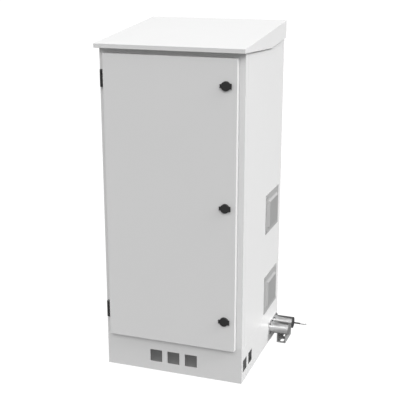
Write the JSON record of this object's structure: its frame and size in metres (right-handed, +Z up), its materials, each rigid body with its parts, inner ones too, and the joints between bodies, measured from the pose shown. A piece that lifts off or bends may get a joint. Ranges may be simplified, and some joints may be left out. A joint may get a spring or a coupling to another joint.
{
  "type": "roadside utility cabinet",
  "caption": "Floor-standing outdoor sheet-steel cabinet with a hinged overlay door, sloped rain roof, vented plinth, hooded side vents and rod cylinders flanged to its side.",
  "frame": {"origin": "at floor level, midway between the four floor fixing holes of the plinth", "axes": "+Z up, -Y out of the door's face, +X towards the wall that carries the vents and cylinders"},
  "size_m": [0.885, 0.7196, 1.673],
  "materials": {
    "body_paint": "light grey powder coat, satin",
    "roof_paint": "light grey powder coat, satin",
    "door_paint": "light grey powder coat, satin",
    "zinc_steel": "zinc-plated, satin",
    "hood_steel": "mid grey satin",
    "copper": "bare copper bar",
    "grey_plastic": "matt moulded plastic",
    "filter_fleece": "white filter fleece",
    "gasket_foam": "black foam",
    "black_metal": "black powder coat, satin",
    "black_plastic": "black moulded plastic, satin",
    "cylinder_steel": "bright drawn steel",
    "dark_steel": "dark oxide steel"
  },
  "bodies": {
    "cabinet": {"plinth_front": "body_paint", "plinth_rear": "body_paint", "plinth_left": "body_paint", "plinth_right": "body_paint", "floor_pan": "body_paint", "gland_plate": "zinc_steel", "gland_plugs": "grey_plastic", "post_front_left": "body_paint", "post_front_right": "body_paint", "post_rear_left": "body_paint", "post_rear_right": "body_paint", "rail_front_top": "body_paint", "rail_front_bottom": "body_paint", "rail_rear_top": "body_paint", "rail_rear_bottom": "body_paint", "panel_left": "body_paint", "panel_right": "body_paint", "panel_rear": "body_paint", "top_plate": "body_paint", "roof_brackets": "zinc_steel", "roof": "roof_paint", "mount_rails": "zinc_steel", "mounting_plate": "zinc_steel", "din_rails": "zinc_steel", "earth_bar": "copper", "hood_upper": "hood_steel", "hood_lower": "hood_steel", "hood_screws": "zinc_steel", "vent_grilles": "zinc_steel", "filter_mats": "filter_fleece", "filter_frames": "grey_plastic", "hinge_frame_leaves": "black_metal", "hinge_pins": "zinc_steel", "cylinder_flanges": "cylinder_steel", "cylinder_screws": "dark_steel", "cylinder_barrels": "cylinder_steel", "cylinder_caps": "dark_steel", "foot_bracket": "dark_steel", "wall_plate": "dark_steel"},
    "door": {"door": "door_paint", "door_gasket": "gasket_foam", "door_stiffeners": "door_paint", "hinge_door_leaves": "black_metal", "lock_housings": "black_plastic", "lock_nuts": "zinc_steel", "lock_cap_pins": "zinc_steel"},
    "lock_cap_top": {"lock_cap_top": "black_plastic"},
    "lock_cam_top": {"lock_cam_top": "zinc_steel"},
    "lock_cap_middle": {"lock_cap_middle": "black_plastic"},
    "lock_cam_middle": {"lock_cam_middle": "zinc_steel"},
    "lock_cap_bottom": {"lock_cap_bottom": "black_plastic"},
    "lock_cam_bottom": {"lock_cam_bottom": "zinc_steel"},
    "rod_near": {"rod_near": "cylinder_steel"},
    "rod_rear": {"rod_rear": "cylinder_steel"}
  },
  "joints": [
    {"name": "door_hinge", "type": "hinge", "parent": "cabinet", "child": "door", "pos_m": [-0.336, -0.348, 0.8695], "axis": [0, 0, -1], "range_deg": [0, 120]},
    {"name": "lock_turn_top", "type": "hinge", "parent": "door", "child": "lock_cam_top", "pos_m": [0.271, -0.335, 1.4405], "axis": [0, -1, 0], "range_deg": [0, 90]},
    {"name": "lock_cap_flap_top", "type": "hinge", "parent": "door", "child": "lock_cap_top", "pos_m": [0.2465, -0.37705, 1.4405], "axis": [0, 0, -1], "range_deg": [0, 150]},
    {"name": "lock_turn_middle", "type": "hinge", "parent": "door", "child": "lock_cam_middle", "pos_m": [0.271, -0.335, 0.8845], "axis": [0, -1, 0], "range_deg": [0, 90]},
    {"name": "lock_cap_flap_middle", "type": "hinge", "parent": "door", "child": "lock_cap_middle", "pos_m": [0.2465, -0.37705, 0.8845], "axis": [0, 0, -1], "range_deg": [0, 150]},
    {"name": "lock_turn_bottom", "type": "hinge", "parent": "door", "child": "lock_cam_bottom", "pos_m": [0.271, -0.335, 0.3285], "axis": [0, -1, 0], "range_deg": [0, 90]},
    {"name": "lock_cap_flap_bottom", "type": "hinge", "parent": "door", "child": "lock_cap_bottom", "pos_m": [0.2465, -0.37705, 0.3285], "axis": [0, 0, -1], "range_deg": [0, 150]},
    {"name": "rod_near_slide", "type": "slide", "parent": "cabinet", "child": "rod_near", "axis": [1, 0, 0], "range_m": [0, 0.071]},
    {"name": "rod_rear_slide", "type": "slide", "parent": "cabinet", "child": "rod_rear", "axis": [1, 0, 0], "range_m": [-0.071, 0]}
  ]
}
